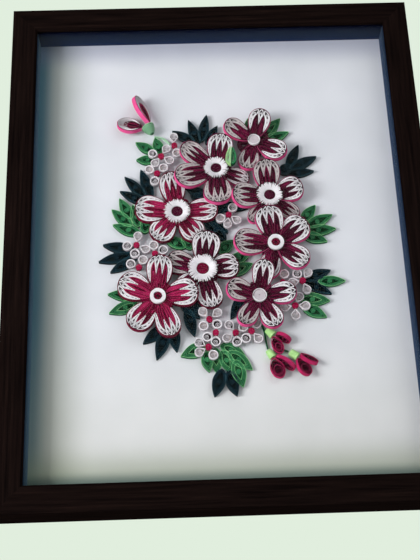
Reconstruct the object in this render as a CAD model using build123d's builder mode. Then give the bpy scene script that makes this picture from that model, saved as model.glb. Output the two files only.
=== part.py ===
# A deep wall frame with a bouquet of rolled paper strips behind its glass. Millimetres, +Z up.
# The origin is the middle of the foot of the frame. The picture faces -Y.
import os
from math import asin, atan2, cos, degrees, hypot, pi, radians, sin, sqrt, tan

from build123d import *

# Frame
frame_width = 345.0
frame_height = 441.0
face_width = 19.9             # flat front face of a rail
sight_bevel = 1.3             # slope from the face to the glass, across the rail
bevel_drop = 1.8              # the same slope, towards the back
lip_depth = 3.5               # front of the frame to the glass
rabbet_wall = 14.0            # rail left beside the glass and boards
edge_break = 1.0              # chamfer along the outer front edge
back_recess = 5.0             # backing board to the back of the frame
rabbet_clearance = 0.5        # all round the glass, boards and spacers

# Glazing and boards
glass_thickness = 2.0
air_gap = 1.5                 # tallest flower to the glass
mount_board_thickness = 2.0
backing_board_thickness = 3.0

# Framer's points, hanger and nails
point_thickness = 0.8
point_width = 8.0
point_length = 13.0
point_bite = 3.0              # how far a point goes into the rail
points_along = {"top": (-90.0, 90.0), "bottom": (-90.0, 90.0),
                "left": (-140.0, 0.0, 140.0), "right": (-140.0, 0.0, 140.0)}
hanger_length = 62.0
hanger_height = 11.0
hanger_sheet = 1.0
hanger_stand_off = 2.0        # the toothed bar stands this far off the rail
hanger_tab = 10.0             # flat end on the rail
hanger_step = 3.0             # length of the slope between tab and bar
hanger_teeth = 9
tooth_depth = 2.2
tooth_width = 0.9             # share of the pitch that a tooth's gap takes at the edge
nail_head_radius = 2.2
nail_head_height = 0.8
nail_shank_radius = 0.7
nail_depth = 9.0
nail_sides = 6

# Paper strips and how they are stacked
petal_strip = 4.0             # width of the strips in the flowers
leaf_strip = 3.0              # width of the strips in the leaves
filler_strip = 3.0            # width of the strips in the small fillers
stem_strip = 2.0
glue_gap = 0.2
stack_strips = 4.5            # strip widths from the board to the top of the tallest petal
wrap_wall = 1.2               # pink and crimson strips round a petal
wrap_tip = 2.2                # walls between a petal's point and the space inside it
petal_start = 3.0             # inner end of a petal, from the flower's axis
riser_radius = 5.0            # hidden coil that lifts a flower off the board
riser_room = 0.1              # strip widths left above it for a petal that dips
ring_height = 2.4
fringe_cuts = 14
fringe_depth = 1.5
ring_sides = 12
eye_sides = 8

# Small fillers
heart_radius = 2.2
filler_loop_radius = 3.7
filler_loop_reach = 7.7       # heart to the middle of a loop
filler_loop_turns = (-105, -35, 35, 105)      # corners round a loop's end, in degrees
coil_sides = 6

# Where each flower sits, from the middle of the picture. The lift and each petal's rise are in
# strip widths. A petal is (direction in degrees, length from the axis, width, rise at its end).
flowers = {
    "top": dict(at=(33, 92), lift=0.5, loops=3, petals=(
        (73, 31, 19, 1.87), (145, 30.5, 17.5, 1.97), (259, 29, 18, 0.39), (331, 31, 20, 1.35))),
    "upper": dict(at=(0, 66), lift=0.4, loops=4, petals=(
        (79, 34, 22, 1.18), (141, 37, 19, 1.29), (197, 37.5, 23, 2.11), (272, 35, 24, 1.52),
        (342, 29, 16.5, -0.8))),
    "left": dict(at=(-33.5, 27.5), lift=0.3, loops=4, petals=(
        (4, 34, 21.5, 0.3), (98, 38, 22, 0.5), (172, 35.5, 24.5, 0.46), (232, 30, 18.5, 0),
        (307, 28, 16.5, -0.24))),
    "upper_right": dict(at=(43.5, 39), lift=0.5, loops=4, petals=(
        (19, 30, 22.5, 0.91), (94, 34, 22.5, 1.91), (180, 33, 22.5, 2.13), (233, 28, 13, 0),
        (320, 30, 16, -0.26))),
    "right": dict(at=(46, -4.5), lift=0.65, loops=4, petals=(
        (36, 33, 24, 1.0), (101, 34, 23.5, 1.87), (178, 35.5, 23, 2.0), (253, 31, 19, 0),
        (323, 32, 21, 0.84))),
    "middle": dict(at=(-14, -25), lift=0.3, loops=4, petals=(
        (9, 30, 22, 0), (81, 34, 23.5, 1.18), (159, 31, 21, 0), (221, 26, 17, 0), (283, 34, 21, 0))),
    "lower_left": dict(at=(-50.5, -49), lift=1.1, loops=4, petals=(
        (9, 33, 24, 0.43), (86, 37, 21.5, 0.48), (154, 34.5, 24.5, 0.45), (231, 34, 22, 0.44),
        (289, 36, 20, 0.47))),
    "lower_right": dict(at=(30.5, -50.5), lift=0.75, loops=3, petals=(
        (7, 30.5, 19, 0.93), (79, 32, 18, 1.94), (162, 28.5, 19, 1.72), (239, 31, 16, 1.74),
        (296, 30.5, 18, 0.93))),
}

# Middle of each flower: outer radius, and the radius of the coil inside it
fringed_rings = {"upper": (10.0, 4.4), "left": (10.5, 4.4), "upper_right": (10.5, 4.4), "middle": (11.8, 4.4)}
plain_rings = {"right": (6.8, 3.4), "lower_left": (6.5, 3.2)}
discs = {"top": 5.2, "lower_right": 5.7}

# Leaves lie on the board: (base, tip, width)
dark_leaves = {
    "upper": (
        ((-15, 98), (-22, 118), 7.5), ((-10.5, 101.5), (-6, 123), 8), ((-5, 98.5), (3, 111.5), 7),
        ((-21, 98.5), (-36, 107.5), 7), ((62.5, 72.5), (71.5, 91), 8), ((67, 70), (86, 79), 8),
        ((63.5, 63.5), (83, 65.5), 7.5), ((-56, 48.5), (-63.5, 71), 8.5), ((-63, 48.5), (-77, 64), 7.5),
        ((-63, 41), (-81, 51), 7.5), ((-7, 43), (-26.5, 53.5), 8.5), ((0.5, 34.5), (25.5, 32), 8),
        ((3, 6.5), (-12, 23), 8)),
    "lower": (
        ((-73, -3), (-95, 1.5), 8.5), ((-76, -8.5), (-98.5, -13.5), 8), ((-71.5, -12.5), (-89, -23), 8),
        ((70, -33), (90, -26.5), 8.5), ((71.5, -37.5), (89.5, -47), 7.5), ((-27, -60), (-22, -80), 8.5),
        ((-30, -49), (-17.5, -65), 8.5), ((17.5, -48), (7, -66), 8.5), ((-48, -73), (-63, -85), 8.5),
        ((-45, -77), (-52.5, -98.5), 9.5), ((-39, -74), (-36.5, -92.5), 8.5),
        ((-2.5, -112.5), (-8, -130), 9.5), ((4.5, -114), (9.5, -130), 9)),
}
green_leaves = {
    "left": (
        ((-54.5, 89), (-67.5, 97.5), 7), ((-47, 88.5), (-51, 101.5), 7.5), ((-54, 80), (-67, 80.5), 7),
        ((-73, 27.5), (-81.5, 44), 7.5), ((-73.5, 20.5), (-88, 34), 7.5), ((-67, 12), (-87, 20), 8),
        ((-66.5, 20.5), (-70.5, 38), 7), ((-60.5, 14.5), (-56.5, 31), 8), ((-70, -44), (-91, -42), 8),
        ((-70, -51.5), (-90, -58.5), 8.5), ((-30, -1), (-46, 8), 8), ((-24, -1.5), (-28.5, 12.5), 8)),
    "right": (
        ((30, 99.5), (29.5, 118.5), 8), ((42, 100.5), (57.5, 117.5), 8.5), ((43, 95), (64, 104), 8),
        ((2, -6), (12.5, 3), 8), ((11.5, -15), (25.5, -9), 8), ((9.5, -25.5), (27, -18.5), 9),
        ((71.5, 20.5), (82, 33), 7.5), ((76, 15), (95.5, 24), 8), ((75.5, 9.5), (97.5, 11), 8),
        ((72, 6), (89.5, -0.5), 8), ((90.5, -36.5), (101.5, -36), 6), ((66, -50.5), (87.5, -53), 9),
        ((68, -58.5), (84, -67), 8)),
    "bottom": (
        ((-15, -89.5), (-33.5, -96.5), 9.5), ((-15, -95.5), (-12, -111), 8), ((11, -99.5), (24.5, -112), 8.5),
        ((11.5, -107), (18, -125), 8.5), ((3, -90.5), (18, -98), 8.5), ((-6.5, -96), (-4, -111), 7.5),
        ((2, -99.5), (8.5, -113.5), 8.5)),
}

# Small fillers: the heart's place, and the direction of each white loop about it
fillers = (
    ((-34.5, 92), (93, 285)), ((-46, 82), (57, 160, 232, 329)), ((-49.5, 65.5), (44, 150, 253)),
    ((9, 25), (61, 204, 263, 322)), ((-67.5, -0.5), (81, 183, 260, 334)), ((-65.5, -20.5), (64, 152)),
    ((-52.5, -8.5), (25, 96)), ((66.5, -36), (56, 123, 189, 289)), ((59, -57.5), (63, 188, 269, 358)),
    ((-10, -67), (39, 127, 229, 324)), ((-5.5, -78.5), (207, 269)), ((10.5, -79), (36, 127, 211, 275)),
    ((23, -78), (54, 232, 308)), ((-11.5, -90.5), (150, 208, 299)), ((50, -37), (75,)),
)

# Buds. A petal is (base, tip, width, height of its middle above the board, turn about its length).
# A cup is (back, mouth, radius at the back, radius at the mouth).
pink_bud_petals = (((-55.8, 112), (-67, 139.5), 15, 8.8, 56), ((-60.6, 109.4), (-83, 115), 15, 5.8, 14))
pink_bud_cup = ((-53, 103.5), (-57, 111), 2.0, 5.6)
crimson_bud_petals = (
    ((39.5, -82.9), (46, -97), 8.5, 4.2, 0), ((42.3, -80.2), (53.5, -87.5), 8, 4.6, 74),
    ((38.2, -100.9), (45, -117), 11, 4.2, 0), ((41, -99.2), (55.5, -110.5), 9, 5.2, 72),
    ((57.5, -101.9), (66.5, -116), 11, 5.4, -28), ((59.8, -98.8), (73.5, -106.5), 9, 5.2, -70),
)
small_cups = (
    ((35.5, -76.5), (40.3, -81.6), 3.0, 3.6), ((35.5, -94), (39, -100), 2.6, 3.2),
    ((52.5, -96), (58.2, -100.4), 3.0, 3.6),
)
cup_sides = 8
cup_wall = 0.9
bud_strip = 3.2
spiral_bud = ((15.5, 86), (13.8, 69))         # tip and base
spiral_bud_width = 7.4
spiral_bud_lift = 2.15                        # in strip widths, above the leaves
pale_stem = ((-51.5, 103.2), (-44, 101), (-38.5, 95.5))
green_stems = (((31, -71), (33, -77), (34, -85), (35, -92)), ((46.5, -92.5), (51, -94.8)))
stem_width = 1.4

# Places that follow from the sizes
stack_height = stack_strips * petal_strip + glue_gap
spacer_depth = stack_height + air_gap
board_depth = lip_depth + glass_thickness + spacer_depth
backing_depth = board_depth + mount_board_thickness + backing_board_thickness
frame_depth = backing_depth + back_recess
hanger_proud = hanger_stand_off + hanger_sheet
front = -(frame_depth + hanger_proud) / 2
back = front + frame_depth
board_face = front + board_depth
picture_middle = frame_height / 2
inset = rabbet_wall + rabbet_clearance
sight_inset = face_width + sight_bevel
loose_width = frame_width - 2 * inset
loose_height = frame_height - 2 * inset


def above_board(x, z, height):
    # A place measured from the picture's middle and up from the board, towards the glass
    return (x, board_face - height, picture_middle + z)


def facing(height):
    # A sketch plane that faces the glass, with its origin at the picture's middle
    return Plane(origin=above_board(0, 0, height), x_dir=(1, 0, 0), z_dir=(0, -1, 0))


def petal_plane(x, z, height, direction, tilt, turn=0):
    # A plane that runs along a petal, raised at its outer end and turned about its length
    a = radians(direction)
    t = radians(tilt)
    along = (cos(a) * cos(t), -sin(t), sin(a) * cos(t))
    upward = Vector(-cos(a) * sin(t), -cos(t), -sin(a) * sin(t)).rotate(Axis((0, 0, 0), along), turn)
    return Plane(origin=above_board(x, z, height), x_dir=along, z_dir=upward)


def save(part, name):
    part.label = name
    export_step(part, f"parts/{name}.step")


os.makedirs("parts", exist_ok=True)

# The four rails share one section: a flat face, a bevel at the sight edge and a deep rabbet
rail_section = (
    (0, edge_break), (edge_break, 0), (face_width, 0), (sight_inset, bevel_drop), (sight_inset, lip_depth),
    (rabbet_wall, lip_depth), (rabbet_wall, frame_depth), (0, frame_depth),
)
half = frame_width / 2
rails = {
    # side: (outer front corner where the rail starts, direction of its length, direction inwards, length)
    "top": ((-half, front, frame_height), (1, 0, 0), (0, 0, -1), frame_width),
    "right": ((half, front, frame_height), (0, 0, -1), (-1, 0, 0), frame_height),
    "bottom": ((half, front, 0), (-1, 0, 0), (0, 0, 1), frame_width),
    "left": ((-half, front, 0), (0, 0, 1), (1, 0, 0), frame_height),
}
point_depth = backing_depth + point_thickness / 2
hanger_z = frame_height - rabbet_wall / 2
nail_x = hanger_length / 2 - hanger_tab / 2

for side, (corner, along, inwards, length) in rails.items():
    start = Vector(corner)
    end = start + Vector(along) * length
    with BuildPart() as rail:
        with BuildSketch(Plane(origin=corner, x_dir=inwards, z_dir=along)):
            with BuildLine():
                Polyline(*rail_section, close=True)
            make_face()
        extrude(amount=length)
        # Mitred at both ends
        split(bisect_by=Plane(origin=start, z_dir=Vector(along) - Vector(inwards)), keep=Keep.TOP)
        split(bisect_by=Plane(origin=end, z_dir=-Vector(along) - Vector(inwards)), keep=Keep.TOP)
        # Slots that the framer's points were pushed into
        slots = Plane(origin=start + Vector(along) * length / 2 + Vector(0, point_depth, 0),
                      x_dir=along, z_dir=(0, 1, 0))
        inward_y = slots.to_local_coords(Vector(start) + Vector(inwards)).Y \
            - slots.to_local_coords(Vector(start)).Y
        with BuildSketch(slots.offset(-point_thickness / 2)):
            for place in points_along[side]:
                with Locations((place, inward_y * (rabbet_wall - point_bite / 2))):
                    Rectangle(point_width, point_bite)
        extrude(amount=point_thickness, mode=Mode.SUBTRACT)
        if side == "top":
            with BuildSketch(Plane(origin=(0, back, hanger_z), x_dir=(1, 0, 0), z_dir=(0, -1, 0))):
                with Locations((-nail_x, 0), (nail_x, 0)):
                    RegularPolygon(nail_shank_radius, nail_sides)
            extrude(amount=nail_depth, mode=Mode.SUBTRACT)
    save(rail.part, f"frame_{side}_rail")

# Framer's points lie on the backing board and bite into the rails
with BuildPart() as framer_points:
    for side, (corner, along, inwards, length) in rails.items():
        middle = Vector(corner) + Vector(along) * length / 2
        for place in points_along[side]:
            root = middle + Vector(along) * place + Vector(inwards) * (rabbet_wall - point_bite)
            root = root + Vector(0, backing_depth, 0)
            with BuildSketch(Plane(origin=root, x_dir=inwards, z_dir=(0, 1, 0))):
                Rectangle(point_length, point_width, align=(Align.MIN, Align.CENTER))
            extrude(amount=point_thickness)
save(framer_points.part, "framer_points")

# Glass against the lip, spacers behind it, then the mount board and the backing board
with BuildPart() as glass_pane:
    with BuildSketch(facing(spacer_depth)):
        Rectangle(loose_width, loose_height)
    extrude(amount=glass_thickness)
save(glass_pane.part, "glass_pane")

spacer_width = sight_inset - inset
spacers = {
    "top": (0, (loose_height - spacer_width) / 2, loose_width, spacer_width),
    "bottom": (0, -(loose_height - spacer_width) / 2, loose_width, spacer_width),
    "left": (-(loose_width - spacer_width) / 2, 0, spacer_width, loose_height - 2 * spacer_width),
    "right": ((loose_width - spacer_width) / 2, 0, spacer_width, loose_height - 2 * spacer_width),
}
for side, (x, z, width, height) in spacers.items():
    with BuildPart() as spacer:
        with BuildSketch(facing(0)):
            with Locations((x, z)):
                Rectangle(width, height)
        extrude(amount=spacer_depth)
    save(spacer.part, f"spacer_{side}")

with BuildPart() as mount_board:
    with BuildSketch(facing(-mount_board_thickness)):
        Rectangle(loose_width, loose_height)
    extrude(amount=mount_board_thickness)
save(mount_board.part, "mount_board")

with BuildPart() as backing_board:
    with BuildSketch(facing(-mount_board_thickness - backing_board_thickness)):
        Rectangle(loose_width, loose_height)
    extrude(amount=backing_board_thickness)
save(backing_board.part, "backing_board")

# Sawtooth hanger: a bent strip whose middle stands off the rail, with teeth along its lower edge
bar_half = hanger_length / 2 - hanger_tab - hanger_step
tab_half = hanger_length / 2 - hanger_tab
with BuildPart() as sawtooth_hanger:
    with BuildSketch(Plane(origin=(0, back, hanger_z - hanger_height / 2))):
        with BuildLine():
            Polyline(
                (-hanger_length / 2, 0), (-tab_half, 0), (-bar_half, hanger_stand_off),
                (bar_half, hanger_stand_off), (tab_half, 0), (hanger_length / 2, 0),
                (hanger_length / 2, hanger_sheet), (tab_half, hanger_sheet), (bar_half, hanger_proud),
                (-bar_half, hanger_proud), (-tab_half, hanger_sheet), (-hanger_length / 2, hanger_sheet),
                close=True)
        make_face()
    extrude(amount=hanger_height)
    with BuildSketch(Plane(origin=(0, back + hanger_proud, hanger_z - hanger_height / 2),
                           x_dir=(1, 0, 0), z_dir=(0, -1, 0))):
        pitch = 2 * bar_half / hanger_teeth
        for i in range(hanger_teeth):
            x = -bar_half + pitch * (i + 0.5)
            with BuildLine():
                Polyline((x - pitch * tooth_width / 2, 0), (x + pitch * tooth_width / 2, 0), (x, tooth_depth), close=True)
            make_face()
    extrude(amount=hanger_sheet, mode=Mode.SUBTRACT)
    with BuildSketch(Plane(origin=(0, back + hanger_sheet, hanger_z), x_dir=(1, 0, 0), z_dir=(0, -1, 0))):
        with Locations((-nail_x, 0), (nail_x, 0)):
            RegularPolygon(nail_shank_radius, nail_sides)
    extrude(amount=hanger_sheet, mode=Mode.SUBTRACT)
save(sawtooth_hanger.part, "sawtooth_hanger")

with BuildPart() as hanger_nails:
    with BuildSketch(Plane(origin=(0, back + hanger_sheet, hanger_z), x_dir=(1, 0, 0), z_dir=(0, -1, 0))):
        with Locations((-nail_x, 0), (nail_x, 0)):
            RegularPolygon(nail_head_radius, nail_sides)
    extrude(amount=-nail_head_height)
    with BuildSketch(Plane(origin=(0, back + hanger_sheet, hanger_z), x_dir=(1, 0, 0), z_dir=(0, -1, 0))):
        with Locations((-nail_x, 0), (nail_x, 0)):
            RegularPolygon(nail_shank_radius, nail_sides)
    extrude(amount=nail_depth + hanger_sheet)
save(hanger_nails.part, "hanger_nails")

# A petal is a teardrop strip with white loops inside and crimson drops between the loops' inner ends.
# Its outline has corners at both ends and at each of these shares of its length.
widest_share = 0.66
outline_shares = (0.30, 0.64, 0.90)
point_slimness = 1.2          # how far the sides draw in towards the point


def swell(share):
    # Half width of a petal at a share of its length, as a share of its largest half width
    if share < widest_share:
        return sin(pi / 2 * share / widest_share) ** point_slimness
    return sqrt(1 - ((share - widest_share) / (1 - widest_share)) ** 2)


def faceted_swell(share):
    # The same along the straight edges between the outline's corners
    corners = ((0, 0),) + tuple((s, swell(s)) for s in outline_shares) + ((1, 0),)
    for (s0, w0), (s1, w1) in zip(corners, corners[1:]):
        if share <= s1:
            return w0 + (w1 - w0) * (share - s0) / (s1 - s0)
    return 0


def teardrop(start, end, half_width):
    # Corners of a petal's outline, pointed at the start and round at the end
    right = [(start + s * (end - start), -half_width * swell(s)) for s in outline_shares]
    left = [(u, -v) for u, v in reversed(right)]
    return [(start, 0)] + right + [(end, 0)] + left


class PetalInside:
    # The space within a petal's strip, with places given by two shares: along it, and across it from -1 to 1
    def __init__(self, start, end, width):
        self.start = start + wrap_tip * wrap_wall
        self.end = end - wrap_wall
        self.half_width = width / 2 - wrap_wall

    def outline(self):
        return teardrop(self.start, self.end, self.half_width)

    def at(self, along, across):
        u = self.start + along * (self.end - self.start)
        return (u, across * self.half_width * faceted_swell(along))


# A lane is the share of a petal's width that one loop has. These loops have a neighbour on both sides:
# corners by the share along the petal, and across in halves of the room that a loop takes of its lane.
loop_room = 0.92
middle_loop = ((0.30, 0), (0.64, -1), (0.92, -0.6), (0.92, 0.6), (0.64, 1))
# The outer loops follow the petal's edge, then turn back along the neighbouring loop
edge_loop_side = 0.97
edge_loop_shares = (0.13, 0.64, 0.88)
edge_loop_return = ((0.90, 0.30), (0.64, 0.05))   # share along, and lanes off the neighbour
edge_loop_waist = (0.36, 0.78)
# A drop fills the point between two loops
drop_shares = (0.08, 0.36, 0.60)
drop_spread = 0.34            # half of its width, in lanes


def loop_outlines(inside, count):
    # White loops side by side, the outer two along the petal's edges
    lane = 2 / count
    outlines = []
    for i in range(count):
        if 0 < i < count - 1:
            middle = -1 + lane * (i + 0.5)
            room = lane / 2 * loop_room
            outlines.append([inside.at(s, middle + k * room) for s, k in middle_loop])
        else:
            side = -1 if i == 0 else 1
            corners = [(s, edge_loop_side) for s in edge_loop_shares]
            corners += [(s, 1 - lane + k * lane) for s, k in edge_loop_return]
            corners.append(edge_loop_waist)
            outline = [inside.at(s, side * k) for s, k in corners]
            outlines.append(outline if side < 0 else outline[::-1])
    return outlines


def drop_outlines(inside, count):
    # Crimson drops between neighbouring loops
    lane = 2 / count
    spread = lane * drop_spread
    first, widest, last = drop_shares
    outlines = []
    for i in range(1, count):
        k = -1 + lane * i
        corners = ((first, k), (widest, k - spread), (last, k), (widest, k + spread))
        outlines.append([inside.at(s, across) for s, across in corners])
    return outlines


def draw(*outlines, mode=Mode.ADD):
    for outline in outlines:
        Polygon(*outline, align=None, mode=mode)


def petal_base(flower):
    return leaf_strip + flower["lift"] * petal_strip


def petal_tilt(rise, length):
    return degrees(asin(rise * petal_strip / length))


def seat_height(flower, radius):
    # Height at which a piece of this radius clears the flower's steepest petal
    steepest = max(radians(petal_tilt(rise, length)) for _, length, _, rise in flower["petals"])
    return petal_base(flower) + radius * tan(steepest) + petal_strip / cos(steepest) + glue_gap


for name, flower in flowers.items():
    x, z = flower["at"]
    with BuildPart() as petals:
        for direction, length, width, rise in flower["petals"]:
            plane = petal_plane(x, z, petal_base(flower), direction, petal_tilt(rise, length))
            inside = PetalInside(petal_start, length, width)
            with BuildSketch(plane):
                draw(teardrop(petal_start, length, width / 2))
                draw(inside.outline(), mode=Mode.SUBTRACT)
                draw(*drop_outlines(inside, flower["loops"]))
            extrude(amount=petal_strip)
    save(petals.part, f"flower_{name}_petals")

    with BuildPart() as loops:
        for direction, length, width, rise in flower["petals"]:
            plane = petal_plane(x, z, petal_base(flower), direction, petal_tilt(rise, length))
            inside = PetalInside(petal_start, length, width)
            with BuildSketch(plane):
                draw(*loop_outlines(inside, flower["loops"]))
            extrude(amount=petal_strip)
    save(loops.part, f"flower_{name}_loops")

# Fringed rings, with a toothed edge, stand on a rolled coil
for name, (radius, eye_radius) in fringed_rings.items():
    x, z = flowers[name]["at"]
    seat = seat_height(flowers[name], radius)
    eye_seat = seat_height(flowers[name], eye_radius)
    teeth = []
    for i in range(fringe_cuts):
        for share, reach in ((0, radius), (0.5, radius - fringe_depth)):
            a = 2 * pi * (i + share) / fringe_cuts
            teeth.append((x + reach * cos(a), z + reach * sin(a)))
    with BuildPart() as centre:
        with BuildSketch(facing(seat)):
            draw(teeth)
            with Locations((x, z)):
                RegularPolygon(eye_radius + glue_gap, eye_sides, mode=Mode.SUBTRACT)
        extrude(amount=ring_height)
    save(centre.part, f"flower_{name}_centre")
    with BuildPart() as eye:
        with BuildSketch(facing(eye_seat)):
            with Locations((x, z)):
                RegularPolygon(eye_radius, eye_sides)
        extrude(amount=seat + ring_height - eye_seat)
    save(eye.part, f"flower_{name}_eye")

for name, (radius, eye_radius) in plain_rings.items():
    x, z = flowers[name]["at"]
    seat = seat_height(flowers[name], radius)
    with BuildPart() as centre:
        with BuildSketch(facing(seat)):
            with Locations((x, z)):
                RegularPolygon(radius, ring_sides)
                RegularPolygon(eye_radius + glue_gap, eye_sides, mode=Mode.SUBTRACT)
        extrude(amount=ring_height)
    save(centre.part, f"flower_{name}_centre")
    eye_seat = seat_height(flowers[name], eye_radius)
    with BuildPart() as eye:
        with BuildSketch(facing(eye_seat)):
            with Locations((x, z)):
                RegularPolygon(eye_radius, eye_sides)
        extrude(amount=seat + ring_height - eye_seat)
    save(eye.part, f"flower_{name}_eye")

for name, radius in discs.items():
    x, z = flowers[name]["at"]
    with BuildPart() as centre:
        with BuildSketch(facing(seat_height(flowers[name], radius))):
            with Locations((x, z)):
                RegularPolygon(radius, ring_sides)
        extrude(amount=ring_height)
    save(centre.part, f"flower_{name}_centre")

# Hidden coils on the board carry the flowers
with BuildPart() as riser_coils:
    for flower in flowers.values():
        with BuildSketch(facing(0)):
            with Locations(flower["at"]):
                RegularPolygon(riser_radius, coil_sides)
        extrude(amount=petal_base(flower) - glue_gap - riser_room * petal_strip)
save(riser_coils.part, "riser_coils")


# Corners of a leaf by the share of its length, and across by the share of its width
leaf_corners = ((0, 0), (0.30, -0.46), (0.65, -0.46), (1, 0), (0.65, 0.46), (0.30, 0.46))


def leaf_outline(base, tip, width):
    # A pointed leaf, drawn from its base to its tip
    length = hypot(tip[0] - base[0], tip[1] - base[1])
    ux, uz = (tip[0] - base[0]) / length, (tip[1] - base[1]) / length
    outline = []
    for along, across in leaf_corners:
        u, v = along * length, across * width
        outline.append((base[0] + u * ux - v * uz, base[1] + u * uz + v * ux))
    return outline


for colour, groups in (("dark", dark_leaves), ("green", green_leaves)):
    for group, leaves in groups.items():
        with BuildPart() as leaf_group:
            with BuildSketch(facing(0)):
                draw(*[leaf_outline(*leaf) for leaf in leaves])
            extrude(amount=leaf_strip)
        save(leaf_group.part, f"{colour}_leaves_{group}")

# Small fillers: a crimson coil on the board with white teardrop loops about it, over the leaves
with BuildPart() as filler_hearts:
    with BuildSketch(facing(0)):
        with Locations([at for at, _ in fillers]):
            RegularPolygon(heart_radius, coil_sides)
    extrude(amount=leaf_strip + glue_gap + filler_strip)
save(filler_hearts.part, "filler_hearts")

with BuildPart() as filler_loops:
    with BuildSketch(facing(leaf_strip + glue_gap)):
        for (x, z), directions in fillers:
            for direction in directions:
                a = radians(direction)
                outline = [(heart_radius + glue_gap, 0)]
                for turn in filler_loop_turns:
                    outline.append((filler_loop_reach + filler_loop_radius * cos(radians(turn)),
                                    filler_loop_radius * sin(radians(turn))))
                draw([(x + u * cos(a) - v * sin(a), z + u * sin(a) + v * cos(a)) for u, v in outline])
    extrude(amount=filler_strip)
save(filler_loops.part, "filler_loops")


def bud_plane(base, tip, height, turn):
    direction = degrees(atan2(tip[1] - base[1], tip[0] - base[0]))
    return petal_plane(base[0], base[1], height, direction, 0, turn)


with BuildPart() as pink_bud_petal_part:
    for base, tip, width, height, turn in pink_bud_petals:
        length = hypot(tip[0] - base[0], tip[1] - base[1])
        inside = PetalInside(0, length, width)
        with BuildSketch(bud_plane(base, tip, height, turn)):
            draw(teardrop(0, length, width / 2))
            draw(inside.outline(), mode=Mode.SUBTRACT)
            draw(*drop_outlines(inside, 2))
        extrude(amount=petal_strip / 2, both=True)
save(pink_bud_petal_part.part, "pink_bud_petals")

with BuildPart() as pink_bud_loops:
    for base, tip, width, height, turn in pink_bud_petals:
        inside = PetalInside(0, hypot(tip[0] - base[0], tip[1] - base[1]), width)
        with BuildSketch(bud_plane(base, tip, height, turn)):
            draw(*loop_outlines(inside, 2))
        extrude(amount=petal_strip / 2, both=True)
save(pink_bud_loops.part, "pink_bud_loops")

# Each cup is a rolled cone that lies on the board, open at its mouth
for name, cups in (("pink_bud_cup", (pink_bud_cup,)), ("small_bud_cups", small_cups)):
    with BuildPart() as cup:
        for back_end, mouth, back_radius, mouth_radius in cups:
            length = hypot(mouth[0] - back_end[0], mouth[1] - back_end[1])
            axis = ((mouth[0] - back_end[0]) / length, 0, (mouth[1] - back_end[1]) / length)
            corner_radius = mouth_radius / cos(pi / cup_sides)
            start = Plane(origin=above_board(*back_end, corner_radius), x_dir=(0, 1, 0), z_dir=axis)
            flare = degrees(atan2(mouth_radius - back_radius, length))
            with BuildSketch(start):
                RegularPolygon(back_radius, cup_sides, major_radius=False)
            extrude(amount=length, taper=-flare)
            with BuildSketch(start.offset(cup_wall)):
                RegularPolygon(back_radius - cup_wall, cup_sides, major_radius=False)
            extrude(amount=length, taper=-flare, mode=Mode.SUBTRACT)
    save(cup.part, name)

with BuildPart() as small_bud_petals:
    for base, tip, width, height, turn in crimson_bud_petals:
        length = hypot(tip[0] - base[0], tip[1] - base[1])
        with BuildSketch(bud_plane(base, tip, height, turn)):
            draw(teardrop(0, length, width / 2))
        extrude(amount=bud_strip / 2, both=True)
save(small_bud_petals.part, "small_bud_petals")

bud_tip, bud_base = spiral_bud
with BuildPart() as spiral_bud_part:
    length = hypot(bud_tip[0] - bud_base[0], bud_tip[1] - bud_base[1])
    with BuildSketch(bud_plane(bud_tip, bud_base, leaf_strip + spiral_bud_lift * petal_strip, 0)):
        draw(teardrop(0, length, spiral_bud_width / 2))
    extrude(amount=petal_strip)
save(spiral_bud_part.part, "spiral_bud")


def stem_outline(points):
    # A strip on edge that follows the points, wider by half a strip on each side
    sides = []
    for i, (x, z) in enumerate(points):
        x0, z0 = points[max(i - 1, 0)]
        x1, z1 = points[min(i + 1, len(points) - 1)]
        run = hypot(x1 - x0, z1 - z0)
        nx, nz = -(z1 - z0) / run * stem_width / 2, (x1 - x0) / run * stem_width / 2
        sides.append(((x - nx, z - nz), (x + nx, z + nz)))
    return [right for right, _ in sides] + [left for _, left in reversed(sides)]


with BuildPart() as pink_bud_stem:
    with BuildSketch(facing(0)):
        draw(stem_outline(pale_stem))
    extrude(amount=stem_strip)
save(pink_bud_stem.part, "pink_bud_stem")

with BuildPart() as small_bud_stems:
    with BuildSketch(facing(0)):
        draw(*[stem_outline(points) for points in green_stems])
    extrude(amount=stem_strip)
save(small_bud_stems.part, "small_bud_stems")
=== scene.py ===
import random
from math import asin, atan2, cos, degrees, hypot, pi, radians, sin, sqrt, tan
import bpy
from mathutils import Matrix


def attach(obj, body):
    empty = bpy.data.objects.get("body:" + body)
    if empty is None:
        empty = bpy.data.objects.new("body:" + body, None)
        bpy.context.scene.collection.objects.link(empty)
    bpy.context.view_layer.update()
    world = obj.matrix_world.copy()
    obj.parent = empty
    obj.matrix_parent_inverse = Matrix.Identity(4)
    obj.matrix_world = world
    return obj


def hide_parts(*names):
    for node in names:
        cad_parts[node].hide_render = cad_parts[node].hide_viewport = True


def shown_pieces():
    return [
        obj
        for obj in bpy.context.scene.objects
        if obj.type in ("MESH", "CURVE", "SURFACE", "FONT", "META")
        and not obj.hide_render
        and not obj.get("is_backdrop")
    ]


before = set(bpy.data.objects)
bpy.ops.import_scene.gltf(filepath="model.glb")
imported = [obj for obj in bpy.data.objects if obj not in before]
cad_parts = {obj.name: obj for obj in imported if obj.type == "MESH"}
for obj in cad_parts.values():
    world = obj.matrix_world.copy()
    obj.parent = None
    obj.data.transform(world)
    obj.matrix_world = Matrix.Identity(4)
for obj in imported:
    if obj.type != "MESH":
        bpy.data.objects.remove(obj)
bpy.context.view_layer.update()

from types import SimpleNamespace

import bmesh
import bpy
from mathutils import Matrix, Quaternion, Vector

dice = random.Random(11)
mm = 0.001
scene = bpy.context.scene

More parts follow.
